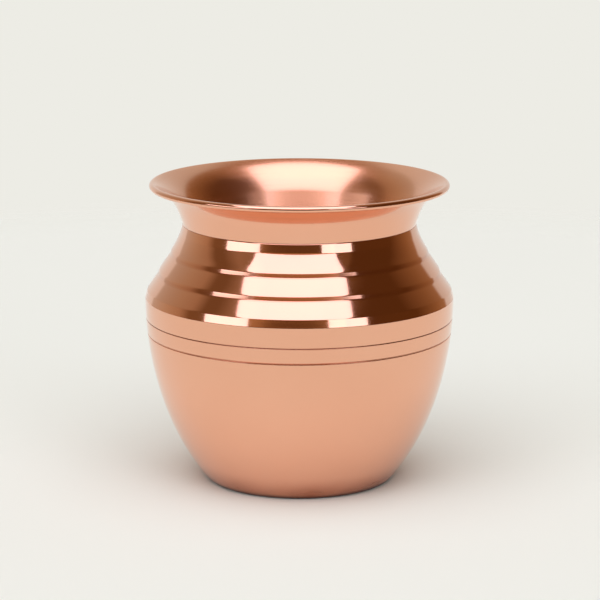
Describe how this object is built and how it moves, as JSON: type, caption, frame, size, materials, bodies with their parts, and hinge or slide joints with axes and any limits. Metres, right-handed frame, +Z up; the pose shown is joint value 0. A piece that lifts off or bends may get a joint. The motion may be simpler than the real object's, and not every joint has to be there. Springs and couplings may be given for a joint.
{
  "type": "lota",
  "caption": "Small round copper water pot with a curved bowl, a ribbed sloping shoulder, a narrow neck and a flared mouth with a rolled rim.",
  "frame": {"origin": "on the pot's axis, at the plane that it stands on", "axes": "+Z up along the pot's axis, X and Y alike"},
  "size_m": [0.1024, 0.1024, 0.0998],
  "materials": {
    "bowl_copper": "satin polish",
    "shoulder_copper": "bright polish",
    "collar_copper": "bright polish",
    "wire_copper": "drawn",
    "braze": "as brazed"
  },
  "bodies": {
    "root": {"lower_bowl": "bowl_copper", "ribbed_shoulder": "shoulder_copper", "mouth_collar": "collar_copper", "rim_wire": "wire_copper", "belly_braze": "braze", "neck_braze": "braze"}
  },
  "joints": []
}
